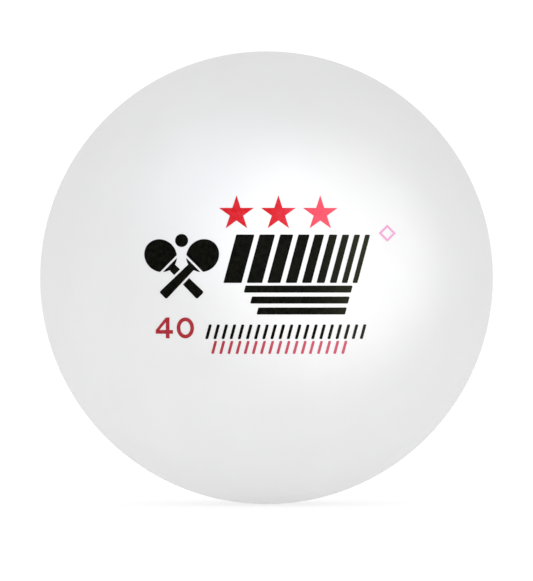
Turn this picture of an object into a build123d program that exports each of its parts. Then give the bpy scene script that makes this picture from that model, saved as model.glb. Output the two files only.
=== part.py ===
from build123d import *
import os
from math import asin, cos, degrees, pi, radians, sin, sqrt, tan

# A table tennis ball of the 40 mm class: two moulded half shells cemented together, one of them printed.
# The origin is the ball's centre. The printed pole faces -Y and the print reads with +Z up. The joint
# lies in the XZ plane, so the shells and the cement are turned about the Y axis.

# Shells, mm
ball_radius = 20.10  # outside
wall = 0.48  # away from the joint
land_radius = 19.46  # near the joint the inside runs straight, as a short cylinder of this radius
lap_radius = 19.84  # inside of the front half's lip
lap_depth = 1.00  # how far the front half's lip covers the rear half's tongue
cement_thickness = 0.04
rim_bevel = 0.04  # broken outer edge of each rim

# Ink, mm. Places are x to the right and z up, seen square on to the printed pole.
ink_thickness = 0.02
print_reach = 40.0  # degrees from the pole that the print stays within
bar_rounding = 0.08  # wet ink draws the corners of every bar and stroke round

star_radius = 1.58
star_notch_ratio = 0.382  # inner to outer radius of a regular five-pointed star
star_pitch = 3.60
star_row = (1.02, 5.48)  # centre of the middle star

bats_place = (-7.30, 0.05)  # where the two bats cross
bat_lean = 45.0  # degrees each side of upright
blade_width = 2.70
blade_height = 2.95
handle_above_crossing = 1.10
handle_below_crossing = 2.30
handle_end_width = 0.86
handle_neck_width = 0.60
handle_rounding = 0.16  # corners of the handle's end
clear_line = 0.18  # left bare around the front bat, and along the foot of each rubber
rubber_foot = 0.42  # from the blade's lowest point up to that line
badge_ball_radius = 0.56
badge_ball_height = 3.12  # above the crossing

slant = radians(15)  # lean of every slanted bar from upright
badge_bars_start = (-3.70, -0.48)
badge_bars_height = 4.15
badge_bar_count = 9
badge_bar_first_width = 1.56
badge_bar_ratio = 0.85  # each bar's width to the one before it
badge_bar_gap = 0.44

streaks_right = 7.50
streaks_bottom = -3.19
streak_lengths = (7.60, 8.40, 9.20)  # lowest first
streak_height = 0.60
streak_pitch = 0.94

numeral_height = 1.80
numeral_width = 1.50
numeral_stroke = 0.32
numerals_start = (-9.55, -5.25)
numeral_gap = 0.32
four_bar_rise = 0.22  # underside of the 4's crossbar, as a share of its height
four_stem_reach = 0.80  # right side of the 4's stem, as a share of its width
four_peak_drop = 1.3  # strokes from the 4's top down to its opening

black_row_start = (-5.28, -5.30)
black_row_height = 1.25
black_row_stroke = 0.26
black_row_pitch = 0.70
black_row_count = 20

red_row_start = (-4.77, -6.58)
red_row_height = 1.12
red_row_stroke = 0.24
red_row_pitch = 0.70
red_row_count = 17

lozenge_place = (10.42, 3.81)
lozenge_reach = 0.74
lozenge_stroke = 0.17

# Values worked out from those
inner_radius = ball_radius - wall
land_end = sqrt(inner_radius**2 - land_radius**2)
tongue_radius = lap_radius - cement_thickness
tongue_depth = lap_depth - cement_thickness
rim = cement_thickness / 2
cement_outer_radius = ball_radius - rim_bevel
outside_end = degrees(asin((rim + rim_bevel) / ball_radius))
inside_end = degrees(asin(land_end / inner_radius))
print_plane = Plane.XZ.offset(ball_radius * cos(radians(print_reach)))


# Front half shell: its rim is a thin lip on the outside of the lap
with BuildPart() as front_half_shell:
    with BuildSketch(Plane.XY):
        with BuildLine():
            outside = CenterArc((0, 0), ball_radius, -90, 90 - outside_end)
            inside = CenterArc((0, 0), inner_radius, -90, 90 - inside_end)
            Line(outside @ 0, inside @ 0)
            Polyline(
                outside @ 1,
                (cement_outer_radius, -rim),
                (lap_radius, -rim),
                (lap_radius, -lap_depth),
                (land_radius, -lap_depth),
                inside @ 1,
            )
        make_face()
    revolve(axis=Axis.Y)


# Rear half shell: its rim carries a tongue that goes inside the front half's lip
with BuildPart() as rear_half_shell:
    with BuildSketch(Plane.XY):
        with BuildLine():
            outside = CenterArc((0, 0), ball_radius, 90, outside_end - 90)
            inside = CenterArc((0, 0), inner_radius, 90, inside_end - 90)
            Line(outside @ 0, inside @ 0)
            Polyline(
                outside @ 1,
                (cement_outer_radius, rim),
                (tongue_radius, rim),
                (tongue_radius, -tongue_depth),
                (land_radius, -tongue_depth),
                inside @ 1,
            )
        make_face()
    revolve(axis=Axis.Y)


# Cement: fills the gap between the two rims, and stops at the foot of their bevels
with BuildPart() as joint_cement:
    with BuildSketch(Plane.XY):
        with BuildLine():
            Polyline(
                (cement_outer_radius, rim),
                (tongue_radius, rim),
                (tongue_radius, -tongue_depth),
                (land_radius, -tongue_depth),
                (land_radius, -lap_depth),
                (lap_radius, -lap_depth),
                (lap_radius, -rim),
                (cement_outer_radius, -rim),
                close=True,
            )
        make_face()
    revolve(axis=Axis.Y)


# Ink skin: the thin layer over the ball that every printed mark is cut from
with BuildPart() as ink_skin:
    Sphere(ball_radius + ink_thickness)
    Sphere(ball_radius, mode=Mode.SUBTRACT)


def keep_inked():
    """Push the marks drawn on the print plane through the ink skin and keep what lies in it."""
    extrude(amount=ball_radius)
    add(ink_skin.part, mode=Mode.INTERSECT)


def slanted_bar(left, bottom, width, height):
    """Draw a bar that leans to the right by the common slant."""
    lean = height * tan(slant)
    Polygon(
        (left, bottom),
        (left + width, bottom),
        (left + width + lean, bottom + height),
        (left + lean, bottom + height),
    )


def slanted_row(start, count, pitch, stroke, height):
    """Draw a row of equal slanted strokes."""
    left, bottom = start
    for step in range(count):
        slanted_bar(left + step * pitch, bottom, stroke, height)


# Three stars in a row, one piece each
star_notch_radius = star_radius * star_notch_ratio
star_points = []
for corner in range(10):
    reach = star_notch_radius if corner % 2 else star_radius
    star_points.append((reach * sin(corner * pi / 5), reach * cos(corner * pi / 5)))

stars = {}
for star_name, place in (("star_left", -1), ("star_middle", 0), ("star_right", 1)):
    with BuildPart() as star:
        with BuildSketch(print_plane):
            with Locations((star_row[0] + place * star_pitch, star_row[1])):
                Polygon(*star_points)
        keep_inked()
    stars[star_name] = star


# One bat, upright, with its crossing point at the sketch's origin
with BuildSketch() as bat:
    blade_centre = handle_above_crossing + blade_height / 2
    Polygon(
        (-handle_end_width / 2, -handle_below_crossing),
        (handle_end_width / 2, -handle_below_crossing),
        (handle_neck_width / 2, blade_centre),
        (-handle_neck_width / 2, blade_centre),
    )
    fillet(bat.vertices().sort_by(Axis.Y)[:2], handle_rounding)
    with Locations((0, blade_centre)):
        Ellipse(blade_width / 2, blade_height / 2)

with BuildSketch() as bat_with_margin:
    add(bat.sketch)
    offset(amount=clear_line)

with BuildSketch() as printed_bat:
    add(bat.sketch)
    with Locations((0, handle_above_crossing + rubber_foot)):
        Rectangle(blade_width, clear_line, mode=Mode.SUBTRACT)


# The emblem's bars: each is narrower than the one to its left
with BuildSketch() as thinning_bars:
    bar_left, bar_bottom = badge_bars_start
    bar_width = badge_bar_first_width
    for _ in range(badge_bar_count):
        slanted_bar(bar_left, bar_bottom, bar_width, badge_bars_height)
        bar_left += bar_width + badge_bar_gap
        bar_width *= badge_bar_ratio
    fillet(thinning_bars.vertices(), bar_rounding)


# Emblem: two crossed bats under a ball, then the bars
with BuildPart() as emblem:
    with BuildSketch(print_plane):
        with Locations(bats_place):
            add(printed_bat.sketch, rotation=bat_lean)
            add(bat_with_margin.sketch, rotation=-bat_lean, mode=Mode.SUBTRACT)
            add(printed_bat.sketch, rotation=-bat_lean)
        with Locations((bats_place[0], bats_place[1] + badge_ball_height)):
            Circle(badge_ball_radius)
        add(thinning_bars.sketch)
    keep_inked()


# Streaks: three long bars under the emblem, ending in one slanted line at the right
with BuildPart() as streaks:
    with BuildSketch(print_plane) as bars:
        for level, length in enumerate(streak_lengths):
            rise = level * streak_pitch
            right = streaks_right - (len(streak_lengths) * streak_pitch - rise) * tan(slant)
            slanted_bar(right - length, streaks_bottom + rise, length, streak_height)
        fillet(bars.vertices(), bar_rounding)
    keep_inked()


# Size numerals: a 4 and a 0, the ball's nominal diameter in millimetres
with BuildPart() as size_numerals:
    with BuildSketch(print_plane):
        with Locations(numerals_start):
            bar_bottom = four_bar_rise * numeral_height
            bar_top = bar_bottom + numeral_stroke
            stem_right = four_stem_reach * numeral_width
            stem_left = stem_right - numeral_stroke
            Polygon(
                (0, bar_bottom),
                (0, bar_top),
                (stem_left, numeral_height),
                (stem_right, numeral_height),
                (stem_right, bar_top),
                (numeral_width, bar_top),
                (numeral_width, bar_bottom),
                (stem_right, bar_bottom),
                (stem_right, 0),
                (stem_left, 0),
                (stem_left, bar_bottom),
            )
            Polygon(
                (numeral_stroke, bar_top),
                (stem_left, bar_top),
                (stem_left, numeral_height - four_peak_drop * numeral_stroke),
                mode=Mode.SUBTRACT,
            )
        zero_centre = numerals_start[0] + 1.5 * numeral_width + numeral_gap
        with Locations((zero_centre, numerals_start[1] + numeral_height / 2)):
            Ellipse(numeral_width / 2, numeral_height / 2)
            Ellipse(
                numeral_width / 2 - numeral_stroke,
                numeral_height / 2 - numeral_stroke,
                mode=Mode.SUBTRACT,
            )
    keep_inked()


# Two rows of fine strokes, where small print would stand
with BuildPart() as black_row:
    with BuildSketch(print_plane) as strokes:
        slanted_row(black_row_start, black_row_count, black_row_pitch, black_row_stroke, black_row_height)
        fillet(strokes.vertices(), bar_rounding)
    keep_inked()

with BuildPart() as red_row:
    with BuildSketch(print_plane) as strokes:
        slanted_row(red_row_start, red_row_count, red_row_pitch, red_row_stroke, red_row_height)
        fillet(strokes.vertices(), bar_rounding)
    keep_inked()


# Lozenge: a small outline at the upper right of the print
with BuildPart() as lozenge:
    with BuildSketch(print_plane):
        with Locations(lozenge_place):
            RegularPolygon(lozenge_reach, side_count=4)
            RegularPolygon(lozenge_reach - lozenge_stroke * sqrt(2), side_count=4, mode=Mode.SUBTRACT)
    keep_inked()


pieces = {
    "front_half_shell": front_half_shell,
    "rear_half_shell": rear_half_shell,
    "joint_cement": joint_cement,
    **stars,
    "emblem": emblem,
    "streaks": streaks,
    "size_numerals": size_numerals,
    "black_row": black_row,
    "red_row": red_row,
    "lozenge": lozenge,
}

os.makedirs("parts", exist_ok=True)
for node, piece in pieces.items():
    piece.part.label = node
    export_step(piece.part, f"parts/{node}.step")

plastic = ("front_half_shell", "rear_half_shell", "joint_cement")
plastic_volume = sum(pieces[node].part.volume for node in plastic)
print(f"plastic and cement: {plastic_volume:.1f} mm3")
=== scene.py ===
from math import atan2, cos, degrees, pi, radians, sin, sqrt

import bmesh
import bpy
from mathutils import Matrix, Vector


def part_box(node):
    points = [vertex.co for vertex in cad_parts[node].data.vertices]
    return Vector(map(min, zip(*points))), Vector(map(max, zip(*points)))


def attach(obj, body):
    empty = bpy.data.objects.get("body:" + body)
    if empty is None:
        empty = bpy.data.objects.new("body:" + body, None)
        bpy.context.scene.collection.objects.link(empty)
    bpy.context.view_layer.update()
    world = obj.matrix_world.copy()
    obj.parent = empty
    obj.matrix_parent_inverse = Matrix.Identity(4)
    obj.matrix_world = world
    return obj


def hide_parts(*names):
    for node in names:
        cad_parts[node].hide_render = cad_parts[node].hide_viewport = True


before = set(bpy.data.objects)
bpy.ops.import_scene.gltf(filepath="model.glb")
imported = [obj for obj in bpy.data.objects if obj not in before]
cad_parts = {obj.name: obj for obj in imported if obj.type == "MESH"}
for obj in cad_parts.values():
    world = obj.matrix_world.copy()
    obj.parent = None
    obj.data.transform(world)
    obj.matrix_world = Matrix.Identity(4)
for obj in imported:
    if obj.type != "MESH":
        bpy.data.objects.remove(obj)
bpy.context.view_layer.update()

# The ball's centre is the origin, its printed pole faces -Y and +Z is up. Everything is in metres.
MM = 0.001

# Sizes read from the frame
ball_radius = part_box("rear_half_shell")[1].x
cement_low, cement_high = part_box("joint_cement")
cement_radius = cement_high.x
half_gap = cement_high.y
lap_depth = -cement_low.y

# Sizes inside the ball, which the frame's boxes don't show
wall = 0.48 * MM
land_radius = 19.46 * MM
lap_radius = 19.84 * MM
cement_thickness = 2 * half_gap

# Shell meshes
turn_steps = 224  # around the Y axis
outside_steps = 72  # along the outside, from pole to rim
inside_steps = 36  # along the inside
bevel_steps = 5  # around the rounded edge of each rim

sharp_angle = 35  # degrees; faces that meet more sharply than this show an edge

# Ink films
ink_thickness = 0.02 * MM
film_cell = 0.4 * MM  # a mark is cut on a grid this wide, so that it can bend with the ball
film_snap = 0.004 * MM  # corners this near to a cut count as on it, which leaves no slivers
film_edge = 0.02 * MM  # width of the slope along a mark's edge
film_edge_height = 0.55  # height at the foot of that slope, as a share of the ink's thickness
film_sink = 0.2  # depth that a mark reaches into the shell, as the same share
weld_distance = 0.001 * MM  # corners of the CAD mesh nearer than this are one corner


# ---------------------------------------------------------------- meshes


def new_object(name, mesh, material):
    """Link a mesh as an object that carries one material and is shaded smooth up to its sharp edges."""
    obj = bpy.data.objects.new(name, mesh)
    bpy.context.scene.collection.objects.link(obj)
    mesh.materials.append(material)
    for face in mesh.polygons:
        face.use_smooth = True
    mesh.set_sharp_from_angle(angle=radians(sharp_angle))
    return obj


def arc(radius, start, end, steps, centre=(0.0, 0.0)):
    """Points of an arc, with its angles in degrees from +X towards +Y."""
    points = []
    for step in range(steps + 1):
        angle = radians(start + (end - start) * step / steps)
        points.append((centre[0] + radius * cos(angle), centre[1] + radius * sin(angle)))
    return points


def lathe(profile, segments):
    """Turn an outline about the Y axis. Its two ends lie on the axis, so the surface is closed."""
    verts = [(0.0, profile[0][1], 0.0)]
    for radius, along in profile[1:-1]:
        for turn in range(segments):
            angle = 2 * pi * turn / segments
            verts.append((radius * cos(angle), along, radius * sin(angle)))
    verts.append((0.0, profile[-1][1], 0.0))
    last = len(verts) - 1
    faces = []
    rings = len(profile) - 2
    for turn in range(segments):
        nxt = (turn + 1) % segments
        faces.append((0, 1 + turn, 1 + nxt))
        for ring in range(rings - 1):
            here = 1 + ring * segments
            there = here + segments
            faces.append((here + turn, there + turn, there + nxt, here + nxt))
        here = 1 + (rings - 1) * segments
        faces.append((here + turn, last, here + nxt))
    mesh = bpy.data.meshes.new("turned")
    mesh.from_pydata(verts, [], faces)
    shape = bmesh.new()
    shape.from_mesh(mesh)
    bmesh.ops.recalc_face_normals(shape, faces=shape.faces)
    shape.to_mesh(mesh)
    shape.free()
    return mesh


def shell_profile(side, rim_points):
    """Outline of a half shell, from its outer pole by way of its rim to its inner pole.

    side is -1 for the front half and 1 for the rear half.
    """
    inner_radius = ball_radius - wall
    edge = ball_radius - cement_radius
    corner = (ball_radius - edge, side * (half_gap + edge))
    rim_angle = degrees(atan2(corner[1], sqrt(ball_radius**2 - corner[1] ** 2)))
    land_end = sqrt(inner_radius**2 - land_radius**2)
    land_angle = degrees(atan2(side * land_end, land_radius))
    outside = arc(ball_radius, side * 90, rim_angle, outside_steps)
    rounded = arc(edge, 0, -side * 90, bevel_steps, centre=corner)
    inside = arc(inner_radius, land_angle, side * 90, inside_steps)
    return outside + rounded[1:] + rim_points + inside


def put_on_sphere(vert, radius):
    """Move a vertex along Y to the front of a sphere about the origin."""
    vert.co.y = -sqrt(radius**2 - vert.co.x**2 - vert.co.z**2)


def print_film(node):
    """A finer copy of a printed mark, true to the sphere, with a softened edge."""
    shape = bmesh.new()
    shape.from_mesh(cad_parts[node].data)
    bmesh.ops.remove_doubles(shape, verts=shape.verts, dist=weld_distance)
    under = [v for v in shape.verts if v.co.length < ball_radius + ink_thickness / 2]
    bmesh.ops.delete(shape, geom=under, context="VERTS")

    low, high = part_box(node)
    for axis, normal in ((0, Vector((1, 0, 0))), (2, Vector((0, 0, 1)))):
        place = low[axis] + film_cell
        while place < high[axis]:
            everything = shape.verts[:] + shape.edges[:] + shape.faces[:]
            cut = {"plane_co": place * normal, "plane_no": normal, "dist": film_snap}
            bmesh.ops.bisect_plane(shape, geom=everything, **cut)
            place += film_cell

    bmesh.ops.inset_region(shape, faces=shape.faces[:], thickness=film_edge, use_even_offset=True)
    for vert in shape.verts:
        rise = film_edge_height * ink_thickness if vert.is_boundary else ink_thickness
        put_on_sphere(vert, ball_radius + rise)

    grown = bmesh.ops.extrude_face_region(shape, geom=shape.faces[:], use_keep_orig=True)
    for vert in (item for item in grown["geom"] if isinstance(item, bmesh.types.BMVert)):
        put_on_sphere(vert, ball_radius - film_sink * ink_thickness)
    bmesh.ops.recalc_face_normals(shape, faces=shape.faces)
    mesh = bpy.data.meshes.new(node + "_film")
    shape.to_mesh(mesh)
    shape.free()
    return mesh


# ---------------------------------------------------------------- materials


class Painter:
    """Builds one node material around a single Principled shader."""

    def __init__(self, name):
        self.material = bpy.data.materials.new(name)
        self.material.use_nodes = True
        self.tree = self.material.node_tree
        self.shader = self.tree.nodes["Principled BSDF"]
        self.place = self.tree.nodes.new("ShaderNodeTexCoord").outputs["Object"]

    def node(self, kind, **values):
        made = self.tree.nodes.new(kind)
        for key, value in values.items():
            setattr(made, key, value)
        return made

    def link(self, output, target):
        self.tree.links.new(output, target)

    def noise(self, size, detail=2.0, roughness=0.5):
        """Noise whose features are about the given size, in metres."""
        made = self.node("ShaderNodeTexNoise")
        made.inputs["Scale"].default_value = 1 / size
        made.inputs["Detail"].default_value = detail
        made.inputs["Roughness"].default_value = roughness
        self.link(self.place, made.inputs["Vector"])
        return made.outputs["Fac"]

    def ramp(self, source, low, high, low_value=0.0, high_value=1.0):
        """Map source from low..high to low_value..high_value, smoothly and without overshoot."""
        made = self.node("ShaderNodeMapRange", interpolation_type="SMOOTHSTEP")
        limits = {"From Min": low, "From Max": high, "To Min": low_value, "To Max": high_value}
        for socket, value in limits.items():
            made.inputs[socket].default_value = value
        self.link(source, made.inputs["Value"])
        return made.outputs["Result"]

    def axis(self, name):
        made = self.node("ShaderNodeSeparateXYZ")
        self.link(self.place, made.inputs[0])
        return made.outputs[name]

    def maths(self, operation, first, second=None):
        made = self.node("ShaderNodeMath", operation=operation)
        for socket, value in zip(made.inputs, (first, second)):
            if isinstance(value, (int, float)):
                socket.default_value = value
            elif value is not None:
                self.link(value, socket)
        return made.outputs[0]

    def mix(self, factor, first, second):
        """Blend two colours. Each is a tuple or another node's output."""
        made = self.node("ShaderNodeMix", data_type="RGBA")
        self.link(factor, made.inputs["Factor"])
        for socket, value in ((made.inputs[6], first), (made.inputs[7], second)):
            if isinstance(value, tuple):
                socket.default_value = (*value, 1.0)
            else:
                self.link(value, socket)
        return made.outputs[2]

    def bump(self, height, distance, strength=1.0):
        made = self.node("ShaderNodeBump")
        made.inputs["Strength"].default_value = strength
        made.inputs["Distance"].default_value = distance
        self.link(height, made.inputs["Height"])
        self.link(made.outputs["Normal"], self.shader.inputs["Normal"])


def shell_plastic():
    """Matt white plastic: faintly cloudy, finely grained, and a shade denser where the walls lap."""
    paint = Painter("shell_plastic")
    cloud = paint.ramp(paint.noise(6 * MM, detail=3.0), 0.3, 0.7)
    body = paint.mix(cloud, (0.742, 0.742, 0.744), (0.756, 0.756, 0.757))
    off_joint = paint.maths("ABSOLUTE", paint.axis("Y"))
    joint = paint.ramp(off_joint, 0.5 * MM, 1.3 * MM, 0.6, 0.0)
    body = paint.mix(joint, body, (0.715, 0.712, 0.700))
    paint.link(body, paint.shader.inputs["Base Color"])
    grain = paint.noise(0.22 * MM, detail=3.0, roughness=0.6)
    paint.link(paint.ramp(grain, 0.3, 0.7, 0.56, 0.66), paint.shader.inputs["Roughness"])
    paint.bump(grain, 0.004 * MM)
    paint.shader.inputs["Specular IOR Level"].default_value = 0.35
    paint.shader.inputs["Subsurface Weight"].default_value = 0.15
    paint.shader.inputs["Subsurface Radius"].default_value = (1.0, 0.95, 0.9)
    paint.shader.inputs["Subsurface Scale"].default_value = 0.8 * MM
    return paint.material


def cement_resin():
    """Set solvent cement: a little darker and warmer than the shells, with small ripples along the joint."""
    paint = Painter("cement_resin")
    ripple = paint.noise(0.9 * MM, detail=2.0)
    paint.link(paint.mix(ripple, (0.50, 0.49, 0.46), (0.60, 0.59, 0.56)), paint.shader.inputs["Base Color"])
    paint.link(paint.ramp(ripple, 0.3, 0.7, 0.35, 0.5), paint.shader.inputs["Roughness"])
    paint.bump(ripple, 0.01 * MM)
    return paint.material


def ink(name, dense, mottle_and_glare_colour, glare_span, specular):
    """Pad-printed ink, mottled, with a painted glare that pales it towards the right over the given stretch
    of X.
    """
    paint = Painter(name)
    # painted glare: this ramp along X pales the ink towards its lighter colour on the right, in place of the
    # lamps' highlight
    across = paint.ramp(paint.axis("X"), *glare_span)
    density = paint.noise(0.35 * MM, detail=3.0)
    # the mix factor is the painted glare plus the ink's own mottling
    shade = paint.maths("ADD", across, paint.ramp(density, 0.3, 0.7, 0.0, 0.2))
    paint.link(paint.mix(shade, dense, mottle_and_glare_colour), paint.shader.inputs["Base Color"])
    paint.link(paint.ramp(density, 0.3, 0.7, 0.42, 0.54), paint.shader.inputs["Roughness"])
    paint.bump(density, 0.003 * MM)
    paint.shader.inputs["Specular IOR Level"].default_value = specular
    return paint.material


# ---------------------------------------------------------------- stage


def make_camera():
    """A long lens square on to the printed side, with the ball a little above the middle of the picture."""
    ball_share = 0.3897  # the ball's radius over the picture's height
    rise_share = 0.0219  # how far the ball's centre stands above the picture's, over its height
    data = bpy.data.cameras.new("camera")
    data.lens = 400.0  # long, so that the print shows almost no perspective
    data.clip_start = 0.01
    data.clip_end = 50.0
    frame_tangent = data.sensor_width / data.lens
    limb = 1 / (ball_share * frame_tangent)
    distance = ball_radius * sqrt(1 + limb**2)
    camera = bpy.data.objects.new("camera", data)
    camera.location = (0.0, -distance, -rise_share * frame_tangent * distance)
    camera.rotation_euler = (radians(90), 0.0, 0.0)
    bpy.context.scene.collection.objects.link(camera)
    bpy.context.scene.camera = camera


def make_world():
    """Plain white surroundings. The eye sees full white, and the ball is lit a little less strongly."""
    light_on_ball = 0.93
    white_to_eye = 1.05
    world = bpy.data.worlds.new("white_room")
    bpy.context.scene.world = world
    world.use_nodes = True
    tree = world.node_tree
    background = tree.nodes["Background"]
    background.inputs["Color"].default_value = (1.0, 1.0, 1.0, 1.0)
    path = tree.nodes.new("ShaderNodeLightPath")
    level = tree.nodes.new("ShaderNodeMapRange")
    level.inputs["To Min"].default_value = light_on_ball
    level.inputs["To Max"].default_value = white_to_eye
    tree.links.new(path.outputs["Is Camera Ray"], level.inputs["Value"])
    tree.links.new(level.outputs["Result"], background.inputs["Strength"])


def make_floor():
    """A round white floor that glows softly like a light table, so that it meets the white surroundings."""
    floor_radius = 20.0
    floor_sides = 128
    glow = 0.55
    paint = Painter("floor_white")
    speck = paint.noise(4 * MM, detail=2.0)
    paint.link(paint.mix(speck, (0.52, 0.52, 0.52), (0.55, 0.55, 0.55)), paint.shader.inputs["Base Color"])
    paint.shader.inputs["Roughness"].default_value = 0.9
    paint.shader.inputs["Specular IOR Level"].default_value = 0.0
    paint.shader.inputs["Emission Color"].default_value = (1.0, 1.0, 1.0, 1.0)
    paint.shader.inputs["Emission Strength"].default_value = glow
    shape = bmesh.new()
    bmesh.ops.create_circle(shape, cap_ends=True, segments=floor_sides, radius=floor_radius)
    mesh = bpy.data.meshes.new("floor")
    shape.to_mesh(mesh)
    shape.free()
    floor = bpy.data.objects.new("floor", mesh)
    floor.location.z = -ball_radius
    mesh.materials.append(paint.material)
    bpy.context.scene.collection.objects.link(floor)


def make_lights():
    """A broad soft light in front, and narrow soft ones for the bright patches on the front and back."""
    broad_width = 0.6
    broad_power = 1.75
    broad_place = Vector((0.0, -1.0, 0.08))
    ball_centre = Vector((0.0, 0.0, 0.0))
    broad = bpy.data.lights.new("broad", "AREA")
    broad.shape = "DISK"
    broad.size = broad_width
    broad.energy = broad_power
    add_lamp(broad, broad_place, ball_centre)

    # Each patch: its side of the joint, how far its middle is across and up from the pole there, its radius,
    # all three as shares of the ball's radius, its power and its colour
    white = (1.0, 1.0, 1.0)
    cool = (0.78, 0.96, 1.22)
    patches = {
        "patch_right": (-1, 0.28, 0.08, 0.65, 9.0, white),
        "patch_upper": (-1, -0.17, 0.37, 0.50, 3.5, cool),
        "patch_rear": (1, -0.35, 0.25, 0.80, 6.0, white),
    }
    reach = 0.9  # from the ball's surface to the lamp
    lamp_size = 2 * MM
    for name, (side, across, up, radius, power, colour) in patches.items():
        patch = bpy.data.lights.new(name, "SPOT")
        patch.energy = power
        patch.color = colour
        patch.shadow_soft_size = lamp_size
        patch.spot_blend = 1.0
        patch.spot_size = 2 * atan2(radius * ball_radius, reach)
        middle = Vector((across, side * sqrt(1 - across**2 - up**2), up))
        add_lamp(patch, middle * (reach + ball_radius), middle * ball_radius)


def add_lamp(light, place, target):
    """Hang a light at a place, facing a target and hidden from the camera."""
    lamp = bpy.data.objects.new(light.name, light)
    lamp.location = place
    lamp.rotation_euler = (target - place).to_track_quat("-Z", "Y").to_euler()
    lamp.visible_camera = False
    bpy.context.scene.collection.objects.link(lamp)


# ---------------------------------------------------------------- the ball


def make_shells():
    """The two half shells. The front one's lip lies over the rear one's tongue, the cement between them."""
    plastic = shell_plastic()
    tongue_radius = lap_radius - cement_thickness
    tongue_depth = lap_depth - cement_thickness
    lip = [(lap_radius, -half_gap), (lap_radius, -lap_depth), (land_radius, -lap_depth)]
    tongue = [(tongue_radius, half_gap), (tongue_radius, -tongue_depth), (land_radius, -tongue_depth)]
    for node, side, rim_points in (("front_half_shell", -1, lip), ("rear_half_shell", 1, tongue)):
        shell = new_object(node + "_moulding", lathe(shell_profile(side, rim_points), turn_steps), plastic)
        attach(shell, "root")
        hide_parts(node)


def make_print():
    """The nine printed marks. Each ink has its dense colour, the paler colour of its painted glare and
    mottling, and the X range over which the painted glare pales it.
    """
    # The second colour and the X range of each ink are painted glare, brightening it towards the right
    star_red = ink("star_red", (0.53, 0.004, 0.008), (0.74, 0.080, 0.122), (0.0, 6 * MM), 0.10)
    deep_red = ink("deep_red", (0.34, 0.012, 0.020), (0.52, 0.092, 0.140), (-9 * MM, 9 * MM), 0.12)
    black = ink("black", (0.0004, 0.0004, 0.0001), (0.023, 0.024, 0.014), (3 * MM, 10 * MM), 0.03)
    pink = ink("pink", (0.70, 0.28, 0.50), (0.73, 0.33, 0.55), (9 * MM, 12 * MM), 0.10)
    marks = {
        "star_left": (star_red, "red_ink"),
        "star_middle": (star_red, "red_ink"),
        "star_right": (star_red, "red_ink"),
        "emblem": (black, "black_ink"),
        "streaks": (black, "black_ink"),
        "size_numerals": (deep_red, "red_ink"),
        "black_row": (black, "black_ink"),
        "red_row": (deep_red, "red_ink"),
        "lozenge": (pink, "pink_ink"),
    }
    for node, (material, slot) in marks.items():
        film = new_object(node + "_film", print_film(node), material)
        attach(film, "root")
        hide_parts(node)


def paint_cement():
    """The cement keeps its CAD shape and gets its own material."""
    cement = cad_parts["joint_cement"]
    cement.data.materials.clear()
    cement.data.materials.append(cement_resin())


bpy.context.scene.view_settings.view_transform = "Standard"
make_camera()
make_world()
make_floor()
make_lights()
make_shells()
make_print()
paint_cement()
